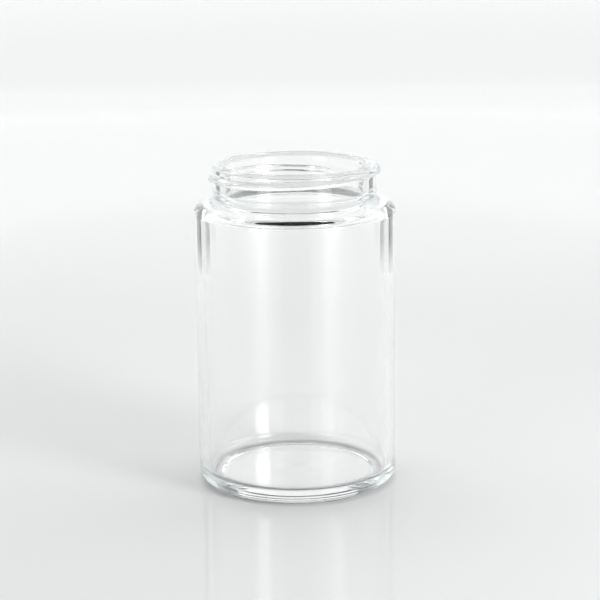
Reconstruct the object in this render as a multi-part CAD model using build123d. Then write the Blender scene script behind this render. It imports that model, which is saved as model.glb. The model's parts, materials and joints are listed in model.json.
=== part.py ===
from build123d import *
import math
import os

# An empty candle jar: one moulded piece of clear glass, with a straight round
# body, a rounded shoulder and a one-turn screw neck for a 48 mm lid.
# Millimetres, +Z up. The origin is on the jar's axis, on the plane it stands on.

# Driving dimensions.
HEIGHT = 89.5
BODY_DIAMETER = 55.5
WALL = 2.85
FLOOR_HEIGHT = 3.3

# Base: a rounded heel, a flat standing ring and a shallow recess inside it.
HEEL_RADIUS = 3.5
STANDING_RING_INNER_RADIUS = 21.6
RECESS_RADIUS = 20.6
RECESS_EDGE_HEIGHT = 0.35
PUSH_UP = 0.6
FLOOR_FILLET = 2.2

# Screw neck, after the 48-400 glass finish.
THREAD_DIAMETER = 47.5
NECK_DIAMETER = 45.1
BORE_DIAMETER = 38.4
THREAD_PITCH = 4.233
THREAD_WIDTH = 2.0
THREAD_ROOT_DEPTH = 0.8
THREAD_TURNS = 0.98
THREAD_FADE_TURNS = 0.09
THREAD_START_DEPTH = 0.2
THREAD_START_AZIMUTH = 42.0
THREAD_SECTIONS_PER_TURN = 36
LIP_OUTER_RADIUS = 1.0
LIP_INNER_RADIUS = 1.2
NECK_STRAIGHT = 8.2
BORE_STRAIGHT = 10.55

# Bead round the foot of the neck, left by the joint in the mould.
BEAD_HEIGHT = 82.0
BEAD_WIDTH = 1.0
BEAD_STAND_OUT = 0.22
BEAD_ROOT_DEPTH = 0.3

# Shoulder: a fillet out of the neck, a short slope and a rounded corner. The glass
# is thickest here, because the inner slope lies well below the outer one.
NECK_FILLET = 2.0
SHOULDER_CORNER = 2.5
SHOULDER_SLOPE = 22.0
INNER_NECK_FILLET = 1.0
INNER_SHOULDER_CORNER = 1.0
INNER_SHOULDER_SLOPE = 21.0

# Sizes that follow from the ones above.
BODY_RADIUS = BODY_DIAMETER / 2
INNER_RADIUS = BODY_RADIUS - WALL
NECK_RADIUS = NECK_DIAMETER / 2
BORE_RADIUS = BORE_DIAMETER / 2


def polar(centre, radius, degrees):
    """The point at an angle on a circle in the half-section plane."""
    angle = math.radians(degrees)
    return (centre[0] + radius * math.cos(angle), centre[1] + radius * math.sin(angle))


def shoulder_drop(small_radius, large_radius, fillet, corner, slope):
    """How far a fillet, a slope and a corner fall from one radius to the other."""
    angle = math.radians(slope)
    rounded = (fillet + corner) * (1 - math.sin(angle))
    sloped = large_radius - small_radius - rounded
    return (fillet + corner) * math.cos(angle) + sloped * math.tan(angle)


def shoulder_edges(small_radius, large_radius, top, fillet, corner, slope):
    """Fillet, slope and corner between two upright walls, from the top down."""
    drop = shoulder_drop(small_radius, large_radius, fillet, corner, slope)
    fillet_centre = (small_radius + fillet, top)
    corner_centre = (large_radius - corner, top - drop)
    turn = 90 - slope
    fillet_arc = ThreePointArc(
        (small_radius, top),
        polar(fillet_centre, fillet, 180 + turn / 2),
        polar(fillet_centre, fillet, 180 + turn),
    )
    corner_arc = ThreePointArc(
        polar(corner_centre, corner, turn),
        polar(corner_centre, corner, turn / 2),
        (large_radius, top - drop),
    )
    return [fillet_arc, Line(fillet_arc @ 1, corner_arc @ 0), corner_arc]


def quarter(centre, radius, start_degrees):
    """A quarter circle that runs clockwise from an angle."""
    return ThreePointArc(
        polar(centre, radius, start_degrees),
        polar(centre, radius, start_degrees - 45),
        polar(centre, radius, start_degrees - 90),
    )


def outside_edges():
    """The outside of the half section, from the lip down to the standing ring."""
    neck_end = HEIGHT - NECK_STRAIGHT
    lip = quarter((NECK_RADIUS - LIP_OUTER_RADIUS, HEIGHT - LIP_OUTER_RADIUS), LIP_OUTER_RADIUS, 90)
    shoulder = shoulder_edges(
        NECK_RADIUS, BODY_RADIUS, neck_end, NECK_FILLET, SHOULDER_CORNER, SHOULDER_SLOPE
    )
    heel = quarter((BODY_RADIUS - HEEL_RADIUS, HEEL_RADIUS), HEEL_RADIUS, 0)
    neck = Line(lip @ 1, (NECK_RADIUS, neck_end))
    wall = Line(shoulder[-1] @ 1, heel @ 0)
    return [lip, neck, *shoulder, wall, heel]


def inside_edges():
    """The inside of the half section, from the lip down to the floor."""
    bore_end = HEIGHT - BORE_STRAIGHT
    lip = ThreePointArc(
        (BORE_RADIUS + LIP_INNER_RADIUS, HEIGHT),
        polar((BORE_RADIUS + LIP_INNER_RADIUS, HEIGHT - LIP_INNER_RADIUS), LIP_INNER_RADIUS, 135),
        (BORE_RADIUS, HEIGHT - LIP_INNER_RADIUS),
    )
    shoulder = shoulder_edges(
        BORE_RADIUS,
        INNER_RADIUS,
        bore_end,
        INNER_NECK_FILLET,
        INNER_SHOULDER_CORNER,
        INNER_SHOULDER_SLOPE,
    )
    fillet = quarter(
        (INNER_RADIUS - FLOOR_FILLET, FLOOR_HEIGHT + FLOOR_FILLET), FLOOR_FILLET, 0
    )
    bore = Line(lip @ 1, (BORE_RADIUS, bore_end))
    wall = Line(shoulder[-1] @ 1, fillet @ 0)
    return [lip, bore, *shoulder, wall, fillet]


def base_edges():
    """The underside, from the heel across the standing ring and the recess to the axis."""
    ring_outer = (BODY_RADIUS - HEEL_RADIUS, 0)
    ring_inner = (STANDING_RING_INNER_RADIUS, 0)
    recess_edge = (RECESS_RADIUS, RECESS_EDGE_HEIGHT)
    recess = Line(recess_edge, (0, PUSH_UP))
    return [Line(ring_outer, ring_inner), Line(ring_inner, recess_edge), recess]


def jar_body():
    """The glass without its thread, turned about the axis."""
    outside = outside_edges()
    inside = inside_edges()
    edges = [
        *outside,
        *base_edges(),
        Line((0, PUSH_UP), (0, FLOOR_HEIGHT)),
        Line((0, FLOOR_HEIGHT), inside[-1] @ 1),
        *inside,
        Line(inside[0] @ 0, outside[0] @ 0),
    ]
    section = Plane.XZ * make_face(Wire(edges))
    return revolve(section, Axis.Z, 360)


def thread_section(turn):
    """One round-crested section of the thread ridge, after this much of a turn."""
    fade = min(1.0, turn / THREAD_FADE_TURNS, (THREAD_TURNS - turn) / THREAD_FADE_TURNS)
    fade = math.sin(fade * math.pi / 2) ** 2
    root = NECK_RADIUS - THREAD_ROOT_DEPTH
    hidden_crest = NECK_RADIUS - THREAD_ROOT_DEPTH / 2
    crest = hidden_crest + (THREAD_DIAMETER / 2 - hidden_crest) * fade
    height = HEIGHT - THREAD_START_DEPTH - THREAD_WIDTH / 2 - THREAD_PITCH * turn
    low = (root, height - THREAD_WIDTH / 2)
    high = (root, height + THREAD_WIDTH / 2)
    outline = Wire([ThreePointArc(low, (crest, height), high), Line(high, low)])
    azimuth = THREAD_START_AZIMUTH - 360 * turn
    upright = Plane.XZ * make_face(outline)
    return Rot(0, 0, azimuth) * upright


def thread_ridge():
    """The right-handed thread, faded into the neck at both ends."""
    count = round(THREAD_TURNS * THREAD_SECTIONS_PER_TURN)
    sections = [thread_section(THREAD_TURNS * i / count) for i in range(count + 1)]
    return loft(sections)


def neck_bead():
    """The low bead round the foot of the neck."""
    root = NECK_RADIUS - BEAD_ROOT_DEPTH
    low = (root, BEAD_HEIGHT - BEAD_WIDTH / 2)
    high = (root, BEAD_HEIGHT + BEAD_WIDTH / 2)
    crest = (NECK_RADIUS + BEAD_STAND_OUT, BEAD_HEIGHT)
    outline = Wire([ThreePointArc(low, crest, high), Line(high, low)])
    return revolve(Plane.XZ * make_face(outline), Axis.Z, 360)


def glass_jar():
    """The whole jar: the turned glass with its bead and its thread moulded on."""
    return jar_body() + neck_bead() + thread_ridge()


os.makedirs("parts", exist_ok=True)
export_step(glass_jar(), "parts/glass_jar.step")
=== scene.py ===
import json
import math

import bpy
import numpy as np
from mathutils import Matrix, Vector


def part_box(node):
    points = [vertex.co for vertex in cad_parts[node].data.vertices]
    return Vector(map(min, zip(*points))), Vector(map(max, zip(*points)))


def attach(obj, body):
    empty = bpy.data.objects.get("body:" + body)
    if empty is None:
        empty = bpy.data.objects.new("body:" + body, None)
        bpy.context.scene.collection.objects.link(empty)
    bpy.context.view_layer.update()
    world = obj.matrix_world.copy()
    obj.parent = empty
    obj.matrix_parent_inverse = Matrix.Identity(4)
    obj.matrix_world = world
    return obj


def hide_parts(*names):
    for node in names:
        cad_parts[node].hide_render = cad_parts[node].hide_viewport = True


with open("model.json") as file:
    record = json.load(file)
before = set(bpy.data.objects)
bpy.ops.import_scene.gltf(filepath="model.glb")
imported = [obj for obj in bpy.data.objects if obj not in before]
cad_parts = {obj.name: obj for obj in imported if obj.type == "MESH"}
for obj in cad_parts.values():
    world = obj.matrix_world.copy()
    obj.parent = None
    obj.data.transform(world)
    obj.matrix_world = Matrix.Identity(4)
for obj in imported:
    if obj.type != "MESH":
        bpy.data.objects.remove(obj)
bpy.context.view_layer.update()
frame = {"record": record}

MM = 0.001

# The jar's own sizes, in metres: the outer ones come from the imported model.
jar_low, jar_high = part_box("glass_jar")
HEIGHT = jar_high[2] - jar_low[2]
BODY_RADIUS = (jar_high[0] - jar_low[0]) / 2
AXIS = Vector(((jar_low[0] + jar_high[0]) / 2, (jar_low[1] + jar_high[1]) / 2, jar_low[2]))
MOUNTS = {mount["name"]: mount for mount in frame["record"]["mounts"]}
BORE_RADIUS = MOUNTS["mouth_bore"]["dims"]["r_mm"] * MM
NECK_RADIUS = 22.55 * MM
THREAD_RADIUS = 23.75 * MM
WALL = 2.85 * MM
FLOOR_HEIGHT = 3.3 * MM
HEEL_RADIUS = 3.5 * MM
STANDING_RING_INNER_RADIUS = 21.6 * MM
RECESS_RADIUS = 20.6 * MM
RECESS_EDGE_HEIGHT = 0.35 * MM
PUSH_UP = 0.6 * MM
FLOOR_FILLET = 2.2 * MM
LIP_OUTER_RADIUS = 1.0 * MM
LIP_INNER_RADIUS = 1.2 * MM
NECK_STRAIGHT = 8.2 * MM
BORE_STRAIGHT = 10.55 * MM
NECK_FILLET = 2.0 * MM
SHOULDER_CORNER = 2.5 * MM
SHOULDER_SLOPE = 22.0
INNER_NECK_FILLET = 1.0 * MM
INNER_SHOULDER_CORNER = 1.0 * MM
INNER_SHOULDER_SLOPE = 21.0

# Small bead that the mould leaves round the foot of the neck.
BEAD_HEIGHT = 82.0 * MM
BEAD_HALF_WIDTH = 0.6 * MM
BEAD_DEPTH = 0.22 * MM

# Thread: one right-handed turn that rises from the left of the neck to its right.
THREAD_PITCH = 4.233 * MM
THREAD_HALF_WIDTH = 0.95 * MM
THREAD_START_AZIMUTH = 42.0
THREAD_START_HEIGHT = HEIGHT - 1.2 * MM
THREAD_TURNS = 0.98
THREAD_FADE_TURNS = 0.09
THREAD_FLATNESS = 2.4
THREAD_SUNK_SHARE = 0.15
THREAD_FOOT = 0.07 * MM

# Unevenness of the inner wall, and the number of steps round the jar.
WAVE_HEIGHT = 0.03 * MM
SEGMENTS = 400


def polar(centre, radius, degrees):
    angle = math.radians(degrees)
    return (centre[0] + radius * math.cos(angle), centre[1] + radius * math.sin(angle))


def arc(centre, radius, start, end, step=5.0):
    """Points along an arc of the half section, both ends included."""
    count = max(2, math.ceil(abs(end - start) / step))
    return [polar(centre, radius, start + (end - start) * i / count) for i in range(count + 1)]


def run(start, end, step):
    """Points along a straight stretch of the half section, both ends included."""
    count = max(1, math.ceil(math.dist(start, end) / step))
    return [
        (start[0] + (end[0] - start[0]) * i / count, start[1] + (end[1] - start[1]) * i / count)
        for i in range(count + 1)
    ]


def shoulder(small_radius, large_radius, top, fillet, corner, slope):
    """Fillet, slope and corner between two upright walls, from the top down."""
    angle = math.radians(slope)
    rounded = (fillet + corner) * (1 - math.sin(angle))
    sloped = large_radius - small_radius - rounded
    drop = (fillet + corner) * math.cos(angle) + sloped * math.tan(angle)
    turn = 90 - slope
    fillet_arc = arc((small_radius + fillet, top), fillet, 180, 180 + turn)
    corner_arc = arc((large_radius - corner, top - drop), corner, turn, 0)
    return fillet_arc + run(fillet_arc[-1], corner_arc[0], 0.3 * MM) + corner_arc


def outside_profile():
    """The outer half section, from the axis under the base up to the lip's land."""
    dome = run((0, PUSH_UP), (RECESS_RADIUS, RECESS_EDGE_HEIGHT), 0.5 * MM)
    ring_edge = (STANDING_RING_INNER_RADIUS, 0)
    cone = run(dome[-1], ring_edge, 0.2 * MM)
    ring = run(ring_edge, (BODY_RADIUS - HEEL_RADIUS, 0), 0.4 * MM)
    heel = arc((BODY_RADIUS - HEEL_RADIUS, HEEL_RADIUS), HEEL_RADIUS, -90, 0)
    neck_end = HEIGHT - NECK_STRAIGHT
    shoulder_down = shoulder(
        NECK_RADIUS, BODY_RADIUS, neck_end, NECK_FILLET, SHOULDER_CORNER, SHOULDER_SLOPE
    )
    wall = run((BODY_RADIUS, HEEL_RADIUS), shoulder_down[-1], 1.0 * MM)
    neck_top = (NECK_RADIUS, HEIGHT - LIP_OUTER_RADIUS)
    neck = run((NECK_RADIUS, neck_end), neck_top, 0.12 * MM)
    lip = arc((NECK_RADIUS - LIP_OUTER_RADIUS, neck_top[1]), LIP_OUTER_RADIUS, 0, 90)
    return dome + cone + ring + heel + wall + shoulder_down[::-1] + neck + lip


def inside_profile():
    """The inner half section, from the lip's land down to the axis on the floor."""
    inner_radius = BODY_RADIUS - WALL
    lip_centre = (BORE_RADIUS + LIP_INNER_RADIUS, HEIGHT - LIP_INNER_RADIUS)
    lip = arc(lip_centre, LIP_INNER_RADIUS, 90, 180)
    bore_end = HEIGHT - BORE_STRAIGHT
    bore = run(lip[-1], (BORE_RADIUS, bore_end), 0.4 * MM)
    shoulder_down = shoulder(
        BORE_RADIUS,
        inner_radius,
        bore_end,
        INNER_NECK_FILLET,
        INNER_SHOULDER_CORNER,
        INNER_SHOULDER_SLOPE,
    )
    fillet_centre = (inner_radius - FLOOR_FILLET, FLOOR_HEIGHT + FLOOR_FILLET)
    fillet = arc(fillet_centre, FLOOR_FILLET, 0, -90)
    wall = run(shoulder_down[-1], fillet[0], 1.0 * MM)
    floor = run(fillet[-1], (0, FLOOR_HEIGHT), 0.6 * MM)
    return lip + bore + shoulder_down + wall + fillet + floor


def without_repeats(points):
    """The same points with neighbours closer than a micrometre merged."""
    kept = [points[0]]
    for point in points[1:]:
        if math.dist(point, kept[-1]) > 1e-6:
            kept.append(point)
    return kept


def thread_height(azimuth, height):
    """How far the thread ridge stands out of the neck, by azimuth in degrees and height."""
    turn = np.mod(THREAD_START_AZIMUTH - azimuth, 360) / 360
    centre = THREAD_START_HEIGHT - THREAD_PITCH * turn
    ends = np.minimum(turn, THREAD_TURNS - turn) / THREAD_FADE_TURNS
    fade = np.sin(np.clip(ends, 0, 1) * math.pi / 2) ** 2
    across = np.abs(height - centre) / THREAD_HALF_WIDTH
    depth = THREAD_RADIUS - NECK_RADIUS
    ridge = depth * ((1 + THREAD_SUNK_SHARE) * fade - THREAD_SUNK_SHARE - across**THREAD_FLATNESS)
    return THREAD_FOOT * np.log1p(np.exp(np.clip(ridge / THREAD_FOOT, -40, 40)))


def waves(azimuth, height, seed):
    """Slow, smooth unevenness of blown glass, between about -1 and 1."""
    angle = np.radians(azimuth)
    z = height / MM
    total = 0.45 * np.sin(2 * angle + 0.021 * z + seed)
    total = total + 0.30 * np.sin(3 * angle - 0.047 * z + 2.1 * seed)
    total = total + 0.15 * np.sin(5 * angle + 0.083 * z + 3.7 * seed)
    return total + 0.10 * np.sin(9 * angle - 0.150 * z + 5.3 * seed)


def jar_mesh():
    """The jar as one closed mesh, turned about its axis, with its thread and unevenness."""
    outside = without_repeats(outside_profile())
    inside = without_repeats(inside_profile())
    profile = without_repeats(outside + inside)
    radius = np.array([p[0] for p in profile])[1:-1]
    height = np.array([p[1] for p in profile])[1:-1]
    is_outside = np.arange(1, len(profile) - 1) < len(outside)
    azimuth = np.arange(SEGMENTS) * 360.0 / SEGMENTS
    angle = np.radians(azimuth)
    grid_radius = np.repeat(radius[:, None], SEGMENTS, axis=1)
    grid_height = np.repeat(height[:, None], SEGMENTS, axis=1)
    grid_azimuth = np.repeat(azimuth[None, :], len(radius), axis=0)

    ridge = thread_height(grid_azimuth, grid_height)
    above_shoulder = height > HEIGHT - NECK_STRAIGHT - 0.5 * MM
    on_neck = is_outside & above_shoulder & (radius > NECK_RADIUS - 0.9 * MM)
    bead = BEAD_DEPTH * np.exp(-(((grid_height - BEAD_HEIGHT) / (BEAD_HALF_WIDTH / 2)) ** 2))
    grid_radius = grid_radius + (ridge + bead) * on_neck[:, None]

    inner_wall = ~is_outside & (radius > BORE_RADIUS + 2.5 * MM) & (height > FLOOR_HEIGHT + 1 * MM)
    uneven = WAVE_HEIGHT * waves(grid_azimuth, grid_height, 0.7)
    grid_radius = grid_radius + uneven * inner_wall[:, None]

    x = AXIS[0] + grid_radius * np.cos(angle)[None, :]
    y = AXIS[1] + grid_radius * np.sin(angle)[None, :]
    z = AXIS[2] + grid_height
    rows = len(radius)
    verts = np.stack([x, y, z], axis=2).reshape(-1, 3)
    bottom = (AXIS[0], AXIS[1], AXIS[2] + profile[0][1])
    top = (AXIS[0], AXIS[1], AXIS[2] + profile[-1][1])
    verts = np.concatenate([verts, [bottom, top]])
    column = np.arange(SEGMENTS)
    after = (column + 1) % SEGMENTS
    faces = []
    for row in range(rows - 1):
        low, high = row * SEGMENTS, (row + 1) * SEGMENTS
        quads = [low + column, low + after, high + after, high + column]
        faces.extend(np.stack(quads, axis=1).tolist())
    first, last = rows * SEGMENTS, rows * SEGMENTS + 1
    faces.extend([[first, b, a] for a, b in zip(column.tolist(), after.tolist())])
    base = (rows - 1) * SEGMENTS
    faces.extend([[last, base + a, base + b] for a, b in zip(column.tolist(), after.tolist())])
    mesh = bpy.data.meshes.new("jar_glass")
    mesh.from_pydata(verts.tolist(), [], faces)
    mesh.validate()
    mesh.shade_smooth()
    mesh.update()
    return mesh


def new_material(name):
    material = bpy.data.materials.new(name)
    material.use_nodes = True
    material.node_tree.nodes.clear()
    return material, material.node_tree.nodes, material.node_tree.links


def ramp(nodes, links, source, start, end, smooth=False):
    """Map a value from start's first number to end's first onto their second numbers."""
    node = nodes.new("ShaderNodeMapRange")
    node.interpolation_type = "SMOOTHSTEP" if smooth else "LINEAR"
    node.inputs["From Min"].default_value = start[0]
    node.inputs["From Max"].default_value = end[0]
    node.inputs["To Min"].default_value = start[1]
    node.inputs["To Max"].default_value = end[1]
    links.new(source, node.inputs["Value"])
    return node.outputs["Result"]


def combine(nodes, links, operation, first, second):
    """The sum or product of two values."""
    node = nodes.new("ShaderNodeMath")
    node.operation = operation
    links.new(first, node.inputs[0])
    links.new(second, node.inputs[1])
    return node.outputs["Value"]


def glass_material():
    """Clear flint glass: faint ripple, faint grey-green where the path through it is long."""
    material, nodes, links = new_material("clear_glass")
    output = nodes.new("ShaderNodeOutputMaterial")
    shader = nodes.new("ShaderNodeBsdfPrincipled")
    shader.inputs["Base Color"].default_value = (1, 1, 1, 1)
    shader.inputs["Transmission Weight"].default_value = 1
    shader.inputs["IOR"].default_value = 1.52
    place = nodes.new("ShaderNodeTexCoord")
    ripple = nodes.new("ShaderNodeTexNoise")
    ripple.inputs["Scale"].default_value = 60
    ripple.inputs["Detail"].default_value = 1
    bump = nodes.new("ShaderNodeBump")
    bump.inputs["Strength"].default_value = 0.02
    bump.inputs["Distance"].default_value = 0.2 * MM
    links.new(place.outputs["Object"], ripple.inputs["Vector"])
    links.new(ripple.outputs["Fac"], bump.inputs["Height"])
    links.new(bump.outputs["Normal"], shader.inputs["Normal"])
    haze = nodes.new("ShaderNodeTexNoise")
    haze.inputs["Scale"].default_value = 220
    links.new(place.outputs["Object"], haze.inputs["Vector"])
    roughness = ramp(nodes, links, haze.outputs["Fac"], (0.45, 0.0), (0.75, 0.02))
    links.new(roughness, shader.inputs["Roughness"])
    volume = nodes.new("ShaderNodeVolumeAbsorption")
    volume.inputs["Color"].default_value = (0.85, 0.895, 0.895, 1)
    volume.inputs["Density"].default_value = 8
    links.new(shader.outputs["BSDF"], output.inputs["Surface"])
    links.new(volume.outputs["Volume"], output.inputs["Volume"])
    return material


def add_object(name, mesh, material):
    thing = bpy.data.objects.new(name, mesh)
    bpy.context.scene.collection.objects.link(thing)
    thing.data.materials.append(material)
    return thing


# The studio: a pale seamless bowl that glows with painted light, with glowing and black cards round
# the jar, and grey cards that paint dark edges on the glass.
BOWL_FLOOR_RADIUS = 0.80
BOWL_CURVE = 0.55
BOWL_TOP = 1.5
BOWL_SEGMENTS = 160
BELOW_JAR = -0.05 * MM
BLACK = (0.01, 0.01, 0.01)


def bowl_mesh():
    """A level floor that curves up into an upright wall, with no seam."""
    outline = run((0.0, BELOW_JAR), (BOWL_FLOOR_RADIUS, BELOW_JAR), 0.05)
    outline += arc((BOWL_FLOOR_RADIUS, BOWL_CURVE), BOWL_CURVE, -90, 0, step=3)[1:]
    outline += run(outline[-1], (BOWL_FLOOR_RADIUS + BOWL_CURVE, BOWL_TOP), 0.2)[1:]
    verts = [(AXIS[0], AXIS[1], AXIS[2])]
    for radius, height in outline[1:]:
        for i in range(BOWL_SEGMENTS):
            angle = 2 * math.pi * i / BOWL_SEGMENTS
            x = AXIS[0] + radius * math.cos(angle)
            y = AXIS[1] + radius * math.sin(angle)
            verts.append((x, y, AXIS[2] + height))
    faces = []
    for i in range(BOWL_SEGMENTS):
        faces.append((0, 1 + i, 1 + (i + 1) % BOWL_SEGMENTS))
    for row in range(len(outline) - 2):
        for i in range(BOWL_SEGMENTS):
            a = 1 + row * BOWL_SEGMENTS + i
            b = 1 + row * BOWL_SEGMENTS + (i + 1) % BOWL_SEGMENTS
            faces.append((a, a + BOWL_SEGMENTS, b + BOWL_SEGMENTS, b))
    mesh = bpy.data.meshes.new("studio_bowl")
    mesh.from_pydata(verts, [], faces)
    mesh.shade_smooth()
    return mesh


def painted_light_bowl_material():
    """A satin white sweep with painted light: its wall glows more the higher it rises, its floor glows
    a little, a ring of painted contact shadow lies under the jar's rim, and a painted pool of light
    glows under the jar.
    """
    material, nodes, links = new_material("studio_white_painted_light")
    output = nodes.new("ShaderNodeOutputMaterial")
    shader = nodes.new("ShaderNodeBsdfPrincipled")
    shader.inputs["Base Color"].default_value = (0.80, 0.81, 0.81, 1)
    shader.inputs["Roughness"].default_value = 0.09
    shader.inputs["Specular IOR Level"].default_value = 0.2
    shader.inputs["Emission Color"].default_value = (1, 1, 1, 1)
    place = nodes.new("ShaderNodeTexCoord")
    split = nodes.new("ShaderNodeSeparateXYZ")
    reach = nodes.new("ShaderNodeVectorMath")
    reach.operation = "LENGTH"
    links.new(place.outputs["Object"], split.inputs["Vector"])
    links.new(place.outputs["Object"], reach.inputs[0])
    height, distance = split.outputs["Z"], reach.outputs["Value"]
    # Painted light: the wall's glow rises with height, and the floor's glow is a little stronger near
    # the jar. The sweep is no lamp.
    wall = ramp(nodes, links, height, (0.0, 0.0), (0.20, 0.37), smooth=True)
    floor = ramp(nodes, links, distance, (0.08, 0.15), (0.22, 0.12), smooth=True)
    # Painted contact shadow: the floor's glow is cut out in a ring under the jar's standing rim.
    painted_contact_shadow_cut = ramp(nodes, links, distance, (0.0262, 0.0), (0.0288, 1.0), smooth=True)
    # Painted pool of light: the floor under the jar's base glows, in place of the light the glass
    # gathers onto it.
    painted_light_under_jar = ramp(nodes, links, distance, (0.021, 0.45), (0.0245, 0.0), smooth=True)
    painted_floor_light = combine(nodes, links, "MULTIPLY", floor, painted_contact_shadow_cut)
    painted_sweep_light = combine(nodes, links, "ADD", wall, painted_floor_light)
    # The emission below is all painted light: the wall and floor glow and the pool under the jar, less
    # the painted contact shadow.
    glow = combine(nodes, links, "ADD", painted_sweep_light, painted_light_under_jar)
    links.new(glow, shader.inputs["Emission Strength"])
    links.new(shader.outputs["BSDF"], output.inputs["Surface"])
    return material


def card(name, corners, strength, colour=(1, 1, 1)):
    """A flat card with a glow of the given strength, or a plain matt one at strength 0."""
    mesh = bpy.data.meshes.new(name)
    mesh.from_pydata([tuple(AXIS + Vector(c)) for c in corners], [], [(0, 1, 2, 3)])
    material, nodes, links = new_material(name)
    output = nodes.new("ShaderNodeOutputMaterial")
    if strength > 0:
        shader = nodes.new("ShaderNodeEmission")
        shader.inputs["Color"].default_value = (*colour, 1)
        shader.inputs["Strength"].default_value = strength
        links.new(shader.outputs["Emission"], output.inputs["Surface"])
    else:
        shader = nodes.new("ShaderNodeBsdfDiffuse")
        shader.inputs["Color"].default_value = (*colour, 1)
        links.new(shader.outputs["BSDF"], output.inputs["Surface"])
    thing = add_object(name, mesh, material)
    thing.visible_camera = False
    return thing


def panel(name, azimuth, distance, width, low, high, strength, colour=(1, 1, 1)):
    """An upright card that faces the jar. Azimuth 0 is the camera's side."""
    angle = math.radians(azimuth)
    out = Vector((math.sin(angle), -math.cos(angle), 0)) * distance
    side = Vector((math.cos(angle), math.sin(angle), 0)) * width / 2
    up = Vector((0, 0, 1))
    left, right = out - side, out + side
    corners = [left + up * low, right + up * low, right + up * high, left + up * high]
    return card(name, corners, strength, colour)


def painted_edge_card(name, azimuth):
    """A grey card behind the jar that paints dark edges on the glass, as a dark flag would. It is seen
    only through the glass, lights nothing and casts no shadow, so it leaves no mark elsewhere.
    """
    thing = panel(name, azimuth, distance=0.28, width=0.08, low=0.0, high=0.2, strength=0.4)
    thing.visible_diffuse = False
    thing.visible_shadow = False
    thing.visible_glossy = False
    tree = thing.data.materials[0].node_tree
    place = tree.nodes.new("ShaderNodeTexCoord")
    split = tree.nodes.new("ShaderNodeSeparateXYZ")
    tree.links.new(place.outputs["Object"], split.inputs["Vector"])
    # Painted fade of the dark edges: the card's glow falls from 0.88 at its foot to 0.2 from 14 mm up.
    fade = ramp(tree.nodes, tree.links, split.outputs["Z"], (0.0, 0.88), (0.014, 0.2))
    tree.links.new(fade, tree.nodes["Emission"].inputs["Strength"])


def ceiling(name, width, near, far, height):
    """A level black card over the jar, from near to far along the camera's direction."""
    half = width / 2
    corners = [(-half, near, height), (-half, far, height), (half, far, height), (half, near, height)]
    card(name, corners, 0, BLACK)


def world_light(strength):
    world = bpy.data.worlds.new("studio_air")
    world.use_nodes = True
    world.node_tree.nodes["Background"].inputs["Color"].default_value = (1, 1, 1, 1)
    world.node_tree.nodes["Background"].inputs["Strength"].default_value = strength
    bpy.context.scene.world = world


# Camera: on the front, a little above the jar, with a long lens and a slight roll.
CAMERA_DISTANCE = 0.5157
CAMERA_HEIGHT = 0.1708
CAMERA_PITCH = 13.09
CAMERA_YAW = -0.13
CAMERA_ROLL = 0.657
CAMERA_LENS = 114.0

# Light is reflected many times inside the glass wall before it leaves it.
LIGHT_PATH_BOUNCES = 96


def make_camera():
    data = bpy.data.cameras.new("camera")
    data.lens = CAMERA_LENS
    data.sensor_width = 36.0
    data.clip_start = 0.01
    data.clip_end = 20.0
    camera = bpy.data.objects.new("camera", data)
    bpy.context.scene.collection.objects.link(camera)
    place = Matrix.Translation(AXIS + Vector((0, -CAMERA_DISTANCE, CAMERA_HEIGHT)))
    yaw = Matrix.Rotation(math.radians(CAMERA_YAW), 4, "Z")
    tilt = Matrix.Rotation(math.radians(90 - CAMERA_PITCH), 4, "X")
    roll = Matrix.Rotation(math.radians(-CAMERA_ROLL), 4, "Z")
    camera.matrix_world = place @ yaw @ tilt @ roll
    bpy.context.scene.camera = camera


def make_studio():
    bowl = add_object("studio_bowl", bowl_mesh(), painted_light_bowl_material())
    world_light(0.9)
    panel("strip_left", -43, distance=0.42, width=0.14, low=0.0, high=0.30, strength=2.6)
    panel("strip_right", 43, distance=0.42, width=0.14, low=0.0, high=0.12, strength=3.2)
    key = panel("key_right", 50, distance=0.42, width=0.14, low=0.12, high=0.34, strength=11.0)
    key.visible_glossy = False
    panel("back_light", 180, distance=1.15, width=2.2, low=0.0, high=0.8, strength=1.0)
    panel("dark_card", 0, distance=0.60, width=0.40, low=0.03, high=0.7, strength=0, colour=BLACK)
    ceiling("dark_ceiling", width=2.2, near=-0.9, far=0.1, height=0.7)
    # Grey cards that paint dark edges on the glass.
    painted_edge_card("painted_edge_left", -148)
    painted_edge_card("painted_edge_right", 148)
    scene = bpy.context.scene
    scene.view_settings.view_transform = "Standard"
    scene.cycles.max_bounces = LIGHT_PATH_BOUNCES
    scene.cycles.transmission_bounces = LIGHT_PATH_BOUNCES
    scene.cycles.glossy_bounces = LIGHT_PATH_BOUNCES
    scene.cycles.diffuse_bounces = 4


make_camera()
make_studio()

jar = add_object("jar_glass", jar_mesh(), glass_material())
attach(jar, "root")
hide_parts("glass_jar")
